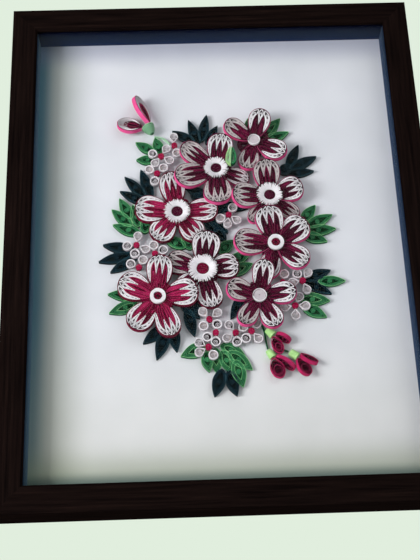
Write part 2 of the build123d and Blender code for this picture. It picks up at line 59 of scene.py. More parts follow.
# Where things are, in millimetres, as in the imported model
place = dict(
    boardFace=6.1,  # y of the mount board's white side
    middle=220.5,  # z of the picture's middle
    front=-19.1, back=16.1, petalStrip=4.0, leafStrip=3.0, fillerStrip=3.0, glueGap=0.2,
)


def newStore():
    return SimpleNamespace(verts=[], faces=[], mats=[])


def flat(x, z, h):  # a point on the picture, h up from the board
    return Vector((x, place["boardFace"] - h, place["middle"] + z)) * mm


def tiltedPlace(x, z, height, angle, tilt=0, turn=0, sunk=0):
    # local (along, across, up) to the picture, for a petal that leans and turns
    a, t = radians(angle), radians(tilt)
    along = Vector((cos(a) * cos(t), -sin(t), sin(a) * cos(t)))
    up = Vector((-cos(a) * sin(t), -cos(t), -sin(a) * sin(t)))
    up.rotate(Quaternion(along, radians(turn)))
    across = up.cross(along)
    origin = flat(x, z, height)
    return lambda u, v, w: origin + (along * u + across * v + up * (w - sunk)) * mm


def aim(start, end):
    # how far one point is from another, and at which angle, in degrees
    u, v = end[0] - start[0], end[1] - start[1]
    return hypot(u, v), degrees(atan2(v, u))


def joinRings(store, base, n, tone, ends=None, closed=False):
    # faces between rings of n points each, and one across either end
    count, last = (len(store.verts) - base) // n, len(store.verts) - n
    for i in range(count if closed else count - 1):
        a, b = base + n * i, base + n * ((i + 1) % count)
        for k in range(n):
            store.faces.append((a + k, b + k, b + (k + 1) % n, a + (k + 1) % n))
            store.mats.append(tone(i, k))
    if ends is not None:
        store.faces += [tuple(range(base, base + n)), tuple(range(last + n - 1, last - 1, -1))]
        store.mats += [ends, ends]


def addStrip(store, path, spot, low, high, wall, mat=0, closed=False, side=None):
    # a paper strip on edge along a path, as a thin closed solid; its sides may have another paper
    count, base = len(path), len(store.verts)
    side = mat if side is None else side
    highs = high if isinstance(high, list) else [high] * count
    for i, (u, v) in enumerate(path):
        u0, v0 = path[i - 1] if i > 0 or closed else path[i]
        u1, v1 = path[(i + 1) % count] if i < count - 1 or closed else path[i]
        run = hypot(u1 - u0, v1 - v0) or 1e-9
        nu, nv = -(v1 - v0) / run * wall / 2, (u1 - u0) / run * wall / 2
        store.verts += [spot(u - nu, v - nv, low), spot(u - nu, v - nv, highs[i]),
                        spot(u + nu, v + nv, highs[i]), spot(u + nu, v + nv, low)]
    joinRings(store, base, 4, lambda i, k: mat if k == 1 else side, None if closed else mat, closed)


def addSheet(store, path, spot, low, high, mat):
    # a flat piece of paper cut along a closed path
    base = len(store.verts)
    store.verts += [spot(u, v, w) for w in (high, low) for u, v in path]
    joinRings(store, base, len(path), lambda i, k: mat, mat)


def makePiece(name, store, materials, slot, *nodes, smooth=38):
    mesh = bpy.data.meshes.new(name)
    mesh.from_pydata([tuple(v) for v in store.verts], [], store.faces)
    for m in materials:
        mesh.materials.append(bpy.data.materials[m])
    mesh.polygons.foreach_set("material_index", store.mats)
    mesh.polygons.foreach_set("use_smooth", [True] * len(mesh.polygons))
    mesh.set_sharp_from_angle(angle=radians(smooth))
    mesh.update()
    piece = bpy.data.objects.new(name, mesh)
    scene.collection.objects.link(piece)
    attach(piece, "root")
    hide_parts(*nodes)
    return piece


def linear(rgb):
    # a colour as on a screen, 0 to 255, in the light that a shader takes
    shares = [v / 255 for v in rgb]
    return tuple(c / 12.92 if c <= 0.04045 else ((c + 0.055) / 1.055) ** 2.4 for c in shares) + (1,)


def feed(node, values):
    # each inlet takes a number, a colour or another node's outlet
    for name, value in values.items():
        if isinstance(value, bpy.types.NodeSocket):
            node.id_data.links.new(value, node.inputs[name])
        else:
            node.inputs[name].default_value = value


def addNode(tree, kind, values={}, **traits):
    # a node of this kind, by its outlets
    node = tree.nodes.new(f"ShaderNode{kind}")
    for name, trait in traits.items():
        setattr(node, name, trait)
    feed(node, values)
    return node.outputs


def addRamp(tree, value, stops):
    # a colour by a value, from stops of (where, rgb)
    ramp = tree.nodes.new("ShaderNodeValToRGB")
    for i, (where, rgb) in enumerate(stops):
        stop = ramp.color_ramp.elements[i] if i < 2 else ramp.color_ramp.elements.new(where)
        stop.position, stop.color = where, linear(rgb)
    feed(ramp, {"Fac": value})
    return ramp.outputs["Color"]


def addBump(tree, height, strength, depth):
    values = {"Height": height, "Strength": strength, "Distance": depth}
    return addNode(tree, "Bump", values)["Normal"]


def addSheen(tree, value, low, high):
    # roughness that follows the pattern
    return addNode(tree, "MapRange", {"Value": value, "To Min": low, "To Max": high})["Result"]


def mixShaders(tree, node, share, first, second):
    mixed = addNode(tree, "MixShader", {0: share, 1: first, 2: second})["Shader"]
    feed(node, {"Surface": mixed})


def newTree(name):
    material = bpy.data.materials.new(name)
    material.use_nodes = True
    return material, material.node_tree


def newMaterial(name):
    # with its tree, its shader and the place of a point on the piece
    material, tree = newTree(name)
    return material, tree, tree.nodes["Principled BSDF"], addNode(tree, "TexCoord")["Object"]


paperLook = dict(
    roughness=0.8, shine=0.12, bump=0.25, relief=0.0001,
    fibres=dict(Scale=2600, Detail=3), clouds=160, cloudDetail=4,
    cloudStops=(0.3, 0.72),  # where the deep and the light tone lie
)


def paperSurface(name, own):
    # the finish of a paper, with its fibres in the bump
    look = paperLook | own
    material, tree, shader, spot = newMaterial(name)
    fibres = addNode(tree, "TexNoise", {"Vector": spot} | look["fibres"])["Fac"]
    feed(shader, {"Roughness": look["roughness"], "Specular IOR Level": look["shine"],
                  "Normal": addBump(tree, fibres, look["bump"], look["relief"])})
    return material, tree, shader, spot


def addClouds(tree, spot, deep, light, own):
    look = paperLook | own
    values = {"Vector": spot, "Scale": look["clouds"], "Detail": look["cloudDetail"]}
    clouds = addNode(tree, "TexNoise", values)["Fac"]
    return addRamp(tree, clouds, zip(look["cloudStops"], (deep, light)))


def paperMaterial(name, deep, light, own={}):
    # dyed quilling paper: faint clouds of a deep and a light tone
    material, tree, shader, spot = paperSurface(name, own)
    feed(shader, {"Base Color": addClouds(tree, spot, deep, light, own)})
    return material


papers = dict(
    # a deep and a light tone, and what differs from paperLook
    whitePaper=((238, 232, 238), (250, 246, 250), dict(bump=0.2)),
    dimPaper=((202, 190, 192), (222, 211, 212)),  # white painted greyer as shade, for the loops of petals that lean away from the window
    creamPaper=((226, 211, 205), (240, 228, 222)),
    shadedPaper=((126, 106, 117), (148, 129, 138)),  # white strips seen between the loops
    # the sides of white strips, painted greyer as shade
    whiteSideShade=((206, 196, 203), (222, 214, 220)),
    discPaper=((200, 188, 196), (218, 208, 214)),
    pinkPaper=((224, 66, 132), (238, 98, 160)),
    crimsonPaper=((90, 4, 36), (126, 10, 54)),
    # a bright crimson: painted highlights on the drops' and buds' strips, and the pink bud's floor
    crimsonBright=((164, 20, 76), (204, 48, 108)),
    burgundyPaper=((54, 3, 27), (76, 8, 40)),
    # a bright burgundy: painted highlights on the drops' strips
    burgundyBright=((106, 10, 52), (138, 24, 76)),
    shadeFloorPaper=((26, 8, 16), (38, 14, 24)),  # a near-black sheet under petals and filler loops, painted shade in their hollows
    heartPaper=((140, 12, 56), (180, 26, 80)),
    greenPaper=((42, 130, 82), (88, 184, 120)),
    # a deep green: paper of the small buds' stems and the spiral bud, and painted shade on the leaf
    # strips' sides
    greenDeep=((14, 78, 48), (24, 100, 62)),
    # lighter rim strips of the green leaves: painted highlight
    greenRimHighlight=((102, 190, 120), (160, 230, 160)),
    # a dark sheet under the green leaves' turns: painted shade
    leafShadeFloor=((14, 58, 32), (20, 72, 40)),
    darkGreenPaper=((6, 32, 45), (18, 54, 71), dict(shine=0.10, roughness=0.6)),
    # lighter, glossier rim strips of the dark leaves: painted glints
    darkRimGlint=((14, 48, 62), (34, 78, 92), dict(shine=0.3, roughness=0.45)),
    # near-black sides and floor of the dark leaves: painted shade
    darkLeafShade=((3, 11, 15), (5, 16, 21), dict(shine=0.06)),
    mintPaper=((124, 172, 138), (168, 214, 170), dict(roughness=0.6)),
    # the steps of the pink bud's cup: painted shade in the creases between turns
    mintStepShade=((34, 88, 60), (52, 108, 78), dict(roughness=0.6)),
    paleGreenPaper=((158, 212, 128), (204, 242, 172), dict(roughness=0.5)),
    stemPaper=((168, 214, 176), (196, 232, 200)),
    riserPaper=((206, 200, 204), (224, 218, 222)),
)
for name, look in papers.items():
    paperMaterial(name, *look)
print("papers made:", len(papers))


roll = dict(
    wall=0.30,  # thickness of a strip
    pitch=0.36,  # from one turn to the next where they lie close
    thin=0.14,  # two strands meet when they are this near
    samples=13,  # points along one side of a loop
    steps=60, fewest=6,  # where room is looked for, and how many must have it
)


def swell(share, widest=0.66, slim=0.70):
    # a petal's half width along it
    if share <= 0 or share >= 1:
        return 0.0
    if share < widest:
        return sin(pi / 2 * share / widest) ** slim
    return sqrt(1 - ((share - widest) / (1 - widest)) ** 2)


def turnPath(low, high, first, last, inset, roundOff, samples=roll["samples"]):
    # one turn between two sides: out along the low side, round the end, back along the high side
    gap = lambda s: (high(s)[1] - low(s)[1]) / 2 - inset
    span = (first + (last - first) * i / roll["steps"] for i in range(roll["steps"] + 1))
    roomy = [s for s in span if gap(s) > roll["thin"]]
    if len(roomy) < roll["fewest"]:
        return None
    start = roomy[0]
    end = last if roundOff else roomy[-1]
    out, home = [], []
    for j in range(samples + 1):
        s = start + (end - start) * (1 - cos(pi * j / samples)) / 2
        u, middle = low(s)[0], (high(s)[1] + low(s)[1]) / 2
        half = max(gap(s), roll["thin"])
        if roundOff:
            into = (s - (end - roundOff)) / roundOff
            if into > 0:
                half *= sqrt(max(0.0, 1 - into * into))
        out.append((u, middle - half))
        home.append((u, middle + half))
    if roundOff:
        home = home[:-1]
    return out + home[::-1]


petalLook = dict(
    start=3.0,  # the point's distance from the flower's middle
    strips=((0.10, 0.18, 3.7), (0.40, 0.36, 4.0)),  # round a petal: inset, wall, height
    wrap=0.62, tipWalls=2.2,  # what they take, and how they fill the point
    # the dark sheet under each petal's inside, painted shade in the hollows
    floor=(0.02, 0.22), floorInset=0.7,
    dropTo=0.80,  # end of the drops, by share of the petal's inside
    dropRoom=0.45,  # half of their width, in lanes
    fillFrom=0.14, fillTo=0.44,  # where the outer drops draw in from the petal's edge
    loopFrom=0.24, edgeLoopFrom=0.12,
    loopTo=0.992, loopBow=0.07,  # how far round the outer loops fall back
    # each turn of a loop: its inset by share of the loop's half width, its end behind the first
    loopTurns=((0.07, 0.0), (0.19, 0.34), (0.36, 3.0), (0.47, 3.8), (0.62, 6.4), (0.75, 8.4)),
    loopWall=0.125,  # of the loop's half width
    # a share of the drop turns goes in a brighter copy of the dye: painted highlights on strip
    # edges
    dropTurns=6, highlightTurns=0.36,
    ease=0.03,  # lanes left free beside a loop
    foot=0.3, fillReach=14.0, fillTurns=6,
)


def petalSpace(start, end, width):
    # the room inside the wrap, its length and half its width
    wrap = petalLook["wrap"]
    first, last, half = start + petalLook["tipWalls"] * wrap, end - wrap, width / 2 - wrap

    def room(s, a):
        return first + s * (last - first), a * half * swell(s)

    return room, last - first, half


def dropHalf(s):
    x = s / petalLook["dropTo"]
    return petalLook["dropRoom"] * sin(pi * x ** 0.8) ** 0.6 if 0 < x < 1 else 0.0


def dropOuter(s):
    # the outermost drops also fill the petal's edge near its point
    x = (s - petalLook["fillFrom"]) / (petalLook["fillTo"] - petalLook["fillFrom"])
    share = 1 - min(1, max(0, x))
    return dropHalf(s) + (1 - dropHalf(s)) * share * share * (3 - 2 * share)


def addLoops(store, spot, space, count, high, mat):
    room, long, wide = space
    lane = 2 / count
    for i in range(count):
        middle = -1 + lane * (i + 0.5)

        def side(sign, s):
            if (i == 0 and sign < 0) or (i == count - 1 and sign > 0):
                free = 0.5 - 0.4 * petalLook["ease"]
            else:
                reach = dropOuter(s) if i in (0, count - 1) else dropHalf(s)
                free = 0.5 - petalLook["ease"] - reach
            return room(s, middle + sign * free * lane)

        first = petalLook["edgeLoopFrom"] if i in (0, count - 1) else petalLook["loopFrom"]
        end = petalLook["loopTo"] - petalLook["loopBow"] * middle ** 2
        half = lane / 2 * wide
        for k, (inset, back) in enumerate(petalLook["loopTurns"]):
            last = end - (back + dice.uniform(-0.3, 0.4) * (k > 3)) / long
            path = turnPath(lambda s: side(-1, s), lambda s: side(1, s), first, last, inset * half,
                            max(0.04, 0.105 - 0.01 * k))
            if path:
                top = high + dice.uniform(-0.16, 0.05) - 0.05 * k
                wall = petalLook["loopWall"] * half
                addStrip(store, path, spot, petalLook["foot"], top, wall, mat, side=1)


def addDrops(store, spot, room, count, high):
    lane = 2 / count
    for i in range(1, count):
        middle = -1 + lane * i
        below = dropOuter if i == 1 else dropHalf
        above = dropOuter if i == count - 1 else dropHalf
        for k in range(petalLook["dropTurns"]):
            inset = roll["pitch"] * 1.05 * k + roll["wall"] / 2
            path = turnPath(lambda s: room(s, middle - below(s) * lane),
                            lambda s: room(s, middle + above(s) * lane),
                            0.03, petalLook["dropTo"] - 0.002, inset, 0, 10)
            if path:
                # a brighter copy of the dye on some turns: painted highlight
                tone = 2 if dice.random() < petalLook["highlightTurns"] else 0
                top = high - 0.6 * dice.random()
                addStrip(store, path, spot, petalLook["foot"], top, roll["wall"], tone)


def wrapPath(start, end, width, inset, samples=26, **shape):
    half = width / 2 - inset
    first, last = start + petalLook["tipWalls"] * inset, end - inset
    path = []
    for j in range(2 * samples + 1):
        s = (1 - cos(pi * j / samples)) / 2
        sign = -1 if j < samples else 1
        path.append((first + s * (last - first), sign * half * swell(min(s, 0.9999), **shape)))
    path[0] = (first, -0.02)
    path[-1] = (first, 0.02)
    return path


def addWraps(store, spot, start, end, width, strips, **shape):
    for mat, (inset, wall, high) in enumerate(strips):
        addStrip(store, wrapPath(start, end, width, inset, **shape), spot, 0, high, wall, mat)


def edgeLine(petal, turn):
    # one edge of a petal, across by along, seen from the line between it and its neighbour
    start, points, a = petalLook["start"], [], radians(turn)
    for s in (j / 40 for j in range(1, 40)):
        u, v = start + s * (petal[1] - start), petal[2] / 2 * swell(s)
        points.append((u * cos(a) + v * sin(a), u * sin(a) - v * cos(a)))

    def across(u):
        for (u0, v0), (u1, v1) in zip(points, points[1:]):
            if u0 <= u <= u1:
                return v0 + (v1 - v0) * (u - u0) / max(u1 - u0, 1e-6)
        return points[0][1] if u < points[0][0] else points[-1][1]
    return across


def addFill(store, x, z, height, petals):
    # crimson turns that close the notch between two neighbouring petals
    ordered = sorted(petals)
    for petal, other in zip(ordered, ordered[1:] + ordered[:1]):
        between = (other[0] - petal[0]) % 360
        tilt = min(petalTilt(petal), petalTilt(other))
        spot = tiltedPlace(x, z, height, petal[0] + between / 2, tilt)
        lowEdge, highEdge = edgeLine(petal, between / 2), edgeLine(other, between / 2)
        for k in range(petalLook["fillTurns"]):
            inset = roll["pitch"] * 1.05 * k + 0.1
            path = turnPath(lambda u: (u, -lowEdge(u)), lambda u: (u, highEdge(u)), 4.0,
                            petalLook["fillReach"] - 0.5 * k, inset, 2.5, 8)
            if path:
                high = place["petalStrip"] - 0.4 - 0.3 * dice.random()
                addStrip(store, path, spot, 0.2, high, roll["wall"])


flowerParts = ("at", "lift", "loops", "wrap", "drops", "dim", "petals")
flowers = dict(
    # x and z, lift, loops, dyes of wrap and drops, which petals lean away from the window and get
    # painted shade in their loops, and petals as (angle, length, width, rise); lift and rise are in
    # strips
    top=((33, 92), 0.5, 3, "pink", "burgundy", (145, 254), (
        (73, 31, 19, 1.87), (145, 30.5, 17.5, 1.97), (254, 28, 18, 0.39), (331, 31, 20, 1.35))),
    upper=((0, 66), 0.4, 4, "pink", "burgundy", (141, 197, 272), (
        (79, 34, 22, 1.18), (141, 37, 19, 1.29), (197, 37.5, 23, 2.11), (272, 35, 24, 1.52),
        (342, 29, 16.5, -0.8))),
    left=((-33.5, 27.5), 0.3, 4, "crimson", "crimson", (), (
        (4, 34, 21.5, 0.3), (98, 38, 22, 0.5), (172, 35.5, 24.5, 0.46), (232, 31, 21.5, 0),
        (307, 30, 20.5, -0.24))),
    upper_right=((43.5, 39), 0.5, 4, "pink", "burgundy", (94, 180, 233, 320), (
        (19, 30, 22.5, 0.91), (94, 34, 22.5, 1.91), (180, 33, 22.5, 2.13), (233, 28, 13, 0),
        (320, 30, 16, -0.26))),
    right=((46, -4.5), 0.65, 4, "pink", "burgundy", (178,), (
        (36, 33, 24, 1.0), (101, 34, 23.5, 1.87), (178, 35.5, 23, 2.0), (253, 31, 19, 0),
        (323, 32, 21, 0.84))),
    middle=((-14, -25), 0.3, 4, "crimson", "burgundy", (159,), (
        (9, 30, 22, 0), (81, 34, 23.5, 1.18), (159, 31, 21, 0), (221, 26, 17, 0),
        (283, 34, 21, 0))),
    lower_left=((-50.5, -49), 1.1, 4, "crimson", "crimson", (), (
        (9, 33, 24, 0.43), (86, 37, 21.5, 0.48), (154, 34.5, 24.5, 0.45), (231, 34, 22, 0.44),
        (289, 36, 20, 0.47))),
    lower_right=((30.5, -50.5), 0.75, 3, "pink", "burgundy", (162, 239), (
        (7, 30.5, 19, 0.93), (79, 32, 18, 1.94), (162, 28.5, 19, 1.72), (239, 31, 16, 1.74),
        (296, 30.5, 18, 0.93))),
)
flowers = {name: dict(zip(flowerParts, row)) for name, row in flowers.items()}


def petalBase(flower):
    return place["leafStrip"] + flower["lift"] * place["petalStrip"]


def petalTilt(petal):
    return degrees(asin(petal[3] * place["petalStrip"] / petal[1]))


def seatHeight(flower, radius):
    # where a middle of this radius rests on the petals
    steepest = max(radians(petalTilt(p)) for p in flower["petals"])
    thick = place["petalStrip"] / cos(steepest) + place["glueGap"]
    return petalBase(flower) + radius * tan(steepest) + thick


for name, flower in flowers.items():
    at, base, high, start = flower["at"], petalBase(flower), place["petalStrip"], petalLook["start"]
    wraps, drops, loops = newStore(), newStore(), newStore()
    for petal in flower["petals"]:
        angle, length, width = petal[:3]
        spot = tiltedPlace(*at, base, angle, petalTilt(petal))
        space = petalSpace(start, length, width)
        addWraps(wraps, spot, start, length, width, petalLook["strips"])
        # a near-black floor sheet under the petal: painted shade
        addSheet(drops, wrapPath(start, length, width, petalLook["floorInset"], 14)[:-1], spot,
                 *petalLook["floor"], 1)
        addDrops(drops, spot, space[0], flower["loops"], high - 0.1)
        # petals that lean away from the window take their loops in a greyer white: painted shade
        addLoops(loops, spot, space, flower["loops"], high, 2 if angle in flower["dim"] else 0)
    addFill(drops, *at, base, flower["petals"])
    dye = flower["drops"]
    outside, inside, brightHighlight = f"{flower['wrap']}Paper", f"{dye}Paper", f"{dye}Bright"
    node = f"flower_{name}_petals"
    makePiece(f"wraps_{name}", wraps, [outside, inside], "pink_paper", node)
    makePiece(f"drops_{name}", drops, [inside, "shadeFloorPaper", brightHighlight], "crimson_paper", node)
    makePiece(f"loops_{name}", loops, ["whitePaper", "shadedPaper", "dimPaper"],
              "white_paper", f"flower_{name}_loops")
print("petals rolled")


def spiralPath(x, z, inner, outer, pitch, phase, perTurn):
    turns = (outer - inner) / pitch
    steps, path = max(8, int(turns * perTurn)), []
    for share in (i / steps for i in range(steps + 1)):
        r, a = inner + (outer - inner) * share, phase + 2 * pi * turns * share
        path.append((x + r * cos(a), z + r * sin(a)))
    return path


coilWall = 0.32


def addCoil(store, x, z, inner, outer, low, high, pitch=0.36, dome=0.0, mat=0, perTurn=26):
    # a tight roll, its middle turns pushed up by dome
    half = coilWall / 2
    path = spiralPath(x, z, inner + half, outer - half, pitch, dice.uniform(0, 2 * pi), perTurn)
    highs = [high + dome * (1 - (hypot(u - x, v - z) / outer) ** 2) for u, v in path]
    addStrip(store, path, flat, low, highs, coilWall, mat)


fringe = dict(
    # the blades' reach, heights at root, crown and tip, how many, and widths at crown and tip
    layers=((1.0, 0.6, 1.7, 1.5, 44, 0.74, 0.26), (0.95, 0.8, 2.1, 2.3, 38, 0.74, 0.30),
            (0.80, 1.0, 2.3, 3.0, 30, 0.80, 0.36)),
    crownAt=0.60, ragged=0.17, sheet=0.2, full=1.02,
)


def addFringe(store, x, z, inner, outer, seat):
    # a fringed strip round the eye, its cut edge spread outwards into a funnel of spikes
    full, sheet, root = fringe["full"], fringe["sheet"], inner + 0.1
    for layer, (reach, low, crown, peak, blades, broad, pointed) in enumerate(fringe["layers"]):
        for i in range(blades):
            a = 2 * pi * (i + 0.37 * layer) / blades + dice.uniform(-0.05, 0.05)
            ragged = dice.uniform(1 - fringe["ragged"], 1 + fringe["ragged"] * 0.5)
            tip = inner + (outer - inner) * reach * ragged
            crownHeight, rise = crown + dice.uniform(-0.2, 0.15), peak + dice.uniform(-0.4, 0.2)
            middle = root + (tip - root) * fringe["crownAt"]
            spot, base = tiltedPlace(x, z, seat, degrees(a)), len(store.verts)
            for r, h, share in ((root, 0.0, full), (root + 0.25, low, full),
                                (middle, crownHeight, broad), (tip, rise, pointed)):
                half, foot = pi * r / blades * share, max(h - sheet, 0.0)
                store.verts += [spot(r, half, foot), spot(r, half, h), spot(r, -half, h),
                                spot(r, -half, foot)]
            # blade tops in white, their sides and ends in a greyer white: painted shade
            joinRings(store, base, 4, lambda i, k: 0 if k == 1 else 1, 1)


middles = dict(
    ringHeight=2.4,
    # radius of the ring and of the eye, and the eye's dye
    fringed=dict(upper=(10.2, 4.4, "burgundy"), left=(10.9, 4.6, "burgundy"),
                 upper_right=(10.8, 4.5, "burgundy"), middle=(12.3, 4.9, "crimson")),
    plain=dict(right=(6.8, 3.4, "crimson"), lower_left=(6.5, 3.2, "crimson")),
    discs=dict(top=5.2, lower_right=5.7), discRim=0.9,
)
ringHeight = middles["ringHeight"]
for name, (radius, eyeRadius, dye) in (middles["fringed"] | middles["plain"]).items():
    x, z = flowers[name]["at"]
    seat, eyeSeat = (seatHeight(flowers[name], r) for r in (radius, eyeRadius))
    centre, eye, whites = newStore(), newStore(), ["whitePaper"]
    if name in middles["fringed"]:
        addFringe(centre, x, z, eyeRadius, radius, seat)
        addCoil(eye, x, z, 0.25, eyeRadius, eyeSeat, seat + 0.6, dome=-0.2)
        whites.append("whiteSideShade")
    else:
        addCoil(centre, x, z, eyeRadius + 0.15, radius, seat, seat + ringHeight, perTurn=40)
        addCoil(eye, x, z, 1.0, eyeRadius, eyeSeat, seat + ringHeight - 0.3)
    makePiece(f"centre_{name}", centre, whites, "white_paper", f"flower_{name}_centre")
    makePiece(f"eye_{name}", eye, [f"{dye}Paper"], "crimson_paper", f"flower_{name}_eye")
for name, radius in middles["discs"].items():
    x, z = flowers[name]["at"]
    seat, inner = seatHeight(flowers[name], radius), radius - middles["discRim"]
    store = newStore()
    addCoil(store, x, z, 0.3, inner, seat, seat + ringHeight - 0.7, dome=-0.3, mat=1, perTurn=30)
    addCoil(store, x, z, inner + 0.04, radius, seat, seat + ringHeight, perTurn=36)
    makePiece(f"centre_{name}", store, ["whitePaper", "discPaper"], "white_paper",
              f"flower_{name}_centre")

store = newStore()
for flower in flowers.values():
    x, z = flower["at"]
    addCoil(store, x, z, 0.6, 5.0, 0, petalBase(flower) - 0.6, pitch=0.55, perTurn=20)
makePiece("risers", store, ["riserPaper"], "white_paper", "riser_coils")
print("flower middles made")


leafLook = dict(
    lowest=1.5, step=0.62,  # where leaves of a group lie over one another
    floor=(0.02, 0.4), heart=(0.2, 0.72, 0.36),  # the heart coil's core, pitch and strip
    # strip, space between turns, where the core lies, how far the round end is tucked in, outline
    green=dict(papers=("greenPaper", "greenDeep", "leafShadeFloor", "greenRimHighlight"), wall=0.36,
               pitch=0.92, core=0.42, tuck=3.0, plump=1.26, lean=0.84, dip=0.6,
               lift=0.5, slot="green_paper"),
    dark=dict(papers=("darkGreenPaper", "darkLeafShade", "darkLeafShade", "darkRimGlint"), wall=0.40,
              pitch=0.95, core=0.46, tuck=4.5, plump=1.12, lean=0.88, dip=0.9,
              lift=0.9, slot="dark_green_paper"),
)
leaves = {
    # foot x and z, tip x and z, width, and a level where leaves lie over one another
    ("dark", "upper"): (
        (-15, 98, -22, 118, 7.5), (-10.5, 101.5, -6, 123, 8), (-5, 98.5, 3, 111.5, 7),
        (-21, 98.5, -36, 107.5, 7), (62.5, 72.5, 71.5, 91, 8), (67, 70, 86, 79, 8),
        (63.5, 63.5, 83, 65.5, 7.5), (-56, 48.5, -63.5, 71, 8.5), (-63, 48.5, -77, 64, 7.5),
        (-63, 41, -81, 51, 7.5), (-7, 43, -26.5, 53.5, 8.5), (0.5, 34.5, 25.5, 32, 8),
        (3, 6.5, -12, 23, 9), (-8, 39, -22, 46, 11), (-2, 31, 10, 38, 10), (-6, 24, 8, 10, 9),
        (58, 67, 64, 72, 9)),
    ("dark", "lower"): (
        (-73, -3, -95, 1.5, 8.5), (-76, -8.5, -98.5, -13.5, 8), (-71.5, -12.5, -89, -23, 8),
        (70, -33, 90, -26.5, 8.5), (71.5, -37.5, 89.5, -47, 7.5), (-27, -60, -22, -80, 8.5),
        (-30, -49, -17.5, -65, 11), (-24, -48, -22, -62, 11), (-20, -42, -14, -56, 10),
        (17.5, -48, 7, -66, 8.5), (-48, -73, -63, -85, 8.5), (-45, -77, -52.5, -98.5, 9.5),
        (-39, -74, -36.5, -92.5, 8.5), (-2.5, -112.5, -8, -130, 9.5), (4.5, -114, 9.5, -130, 9)),
    ("green", "left"): (
        (-54.5, 89, -67.5, 97.5, 7), (-47, 88.5, -51, 101.5, 7.5), (-54, 80, -67, 80.5, 7),
        (-73, 27.5, -81.5, 44, 7.5), (-73.5, 20.5, -88, 34, 7.5), (-67, 12, -87, 20, 8),
        (-66.5, 20.5, -70.5, 38, 7), (-60.5, 14.5, -56.5, 31, 8), (-70, -44, -91, -42, 8),
        (-70, -51.5, -90, -58.5, 8.5), (-30, -1, -46, 8, 8), (-24, -1.5, -28.5, 12.5, 8)),
    ("green", "right"): (
        (30, 99.5, 29.5, 118.5, 8), (42, 100.5, 57.5, 117.5, 8.5), (43, 95, 64, 104, 8),
        (2, -6, 12.5, 3, 8), (11.5, -15, 25.5, -9, 8), (9.5, -25.5, 27, -18.5, 9),
        (71.5, 20.5, 82, 33, 7.5), (76, 15, 95.5, 24, 8), (75.5, 9.5, 97.5, 11, 8),
        (72, 6, 89.5, -0.5, 8), (82.5, -36, 101.5, -36, 7.4), (66, -50.5, 87.5, -53, 9),
        (68, -58.5, 84, -67, 8)),
    ("green", "bottom"): (
        (-15, -89.5, -33.5, -96.5, 9.5), (-13.5, -96, -11.5, -110, 7.6),
        (-6, -93, -5.5, -111, 8.4, 0), (1, -89, 17.5, -97.5, 8.6, 0), (0, -95, 7, -112.5, 8.8, 1),
        (6.5, -95.5, 22.5, -109.5, 8.8, 2), (10, -104, 14.5, -123.5, 9, 3)),
}


def addLeaf(store, look, x, z, tipX, tipZ, width, level=None):
    # a pinched coil: pointed turns outside, round ones about its core
    length, angle = aim((x, z), (tipX, tipZ))
    back, turned = look["tuck"], radians(angle)  # its round end goes in under the flowers
    spot = tiltedPlace(x - back * cos(turned), z - back * sin(turned), 0, angle)
    length += back
    half = width * look["plump"] / 2 - look["wall"] / 2
    core = look["core"] * length
    high, foot = place["leafStrip"] + look["lift"] * dice.random(), 0.0
    if level is not None:
        foot = leafLook["step"] * level
        high = leafLook["lowest"] + foot

    def outline(inset, steps):
        narrow = 1 - inset / half
        first, last = 1.1 * inset, length - 2.3 * inset
        path = []
        for j in range(steps):
            a = 2 * pi * (j + 0.5) / steps
            t = (1 - cos(a)) / 2
            bulge = sin(pi * t ** look["lean"])
            bulge = bulge ** 0.62 if t ** look["lean"] < 0.5 else bulge ** 0.92
            path.append((first + t * (last - first), half * narrow * bulge * (1 if a > pi else -1)))
        return path

    # a dark sheet under the turns: painted shade
    addSheet(store, outline(0.2, 22), spot, *(foot + h for h in leafLook["floor"]), 2)
    turns = int((half - 2.3) / look["pitch"]) + 1
    for k in range(turns):
        crest = high - look["dip"] * k / turns - 0.2 * dice.random()
        # the rim and every third turn in a lighter paper as painted highlight; the sides in a
        # deeper one as painted shade
        addStrip(store, outline(look["pitch"] * k, 26), spot, foot, crest, look["wall"],
                 0 if k % 3 else 3, closed=True, side=1)
    heartSize = min(2.1, max(0.9, half - look["pitch"] * turns + 0.3))
    inner, pitch, wall = leafLook["heart"]
    heart = spiralPath(core, 0, inner, heartSize, pitch, dice.uniform(0, 6), 14)
    addStrip(store, heart, spot, foot, high - 0.2, wall, side=1)


for (kind, group), members in leaves.items():
    look = leafLook[kind]
    store = newStore()
    for member in members:
        addLeaf(store, look, *member)
    node = f"{kind}_leaves_{group}"
    makePiece(f"{kind}Leaves_{group}", store, look["papers"], look["slot"], node)
print("leaves pinched")


fillers = dict(
    heart=2.75, dome=0.5, post=(0.2, 1.2), postRise=0.4, dropShare=0.5,
    # dark: how often the loop gets a near-black floor sheet, painted shade in its hollow
    round=dict(radius=3.9, reach=7.5, turns=3, pitch=0.30, wall=0.28, loose=1.0,
               shift=0.55, sunk=1.1, dark=0.75),
    drop=dict(radius=3.6, reach=8.5, turns=2, pitch=0.30, wall=0.30, loose=0.8,
              shift=0.25, sunk=0.8, dark=0.2),
    coilWall=0.22, floor=(0.02, 0.3),
    groups=(  # x, z and the angles of the loops
        (-34.5, 92, 93, 285), (-46, 82, 57, 160, 232, 329), (-49.5, 65.5, 44, 150, 253),
        (9, 25, 61, 204, 263, 322), (-67.5, -0.5, 81, 183, 260, 334), (-65.5, -20.5, 64, 152),
        (-52.5, -8.5, 25, 96), (66.5, -36, 56, 123, 189, 289), (59, -57.5, 63, 188, 269, 358),
        (-10, -67, 39, 127, 229, 324), (-5.5, -78.5, 207, 269), (10.5, -79, 36, 127, 211, 275),
        (23, -78, 54, 232, 308), (-11.5, -90.5, 150, 208, 299), (50, -37, 75)),
)


def arc(centre, radius, start, end, steps):
    angles = (start + (end - start) * j / steps for j in range(steps + 1))
    return [(centre + radius * cos(a), radius * sin(a)) for a in angles]


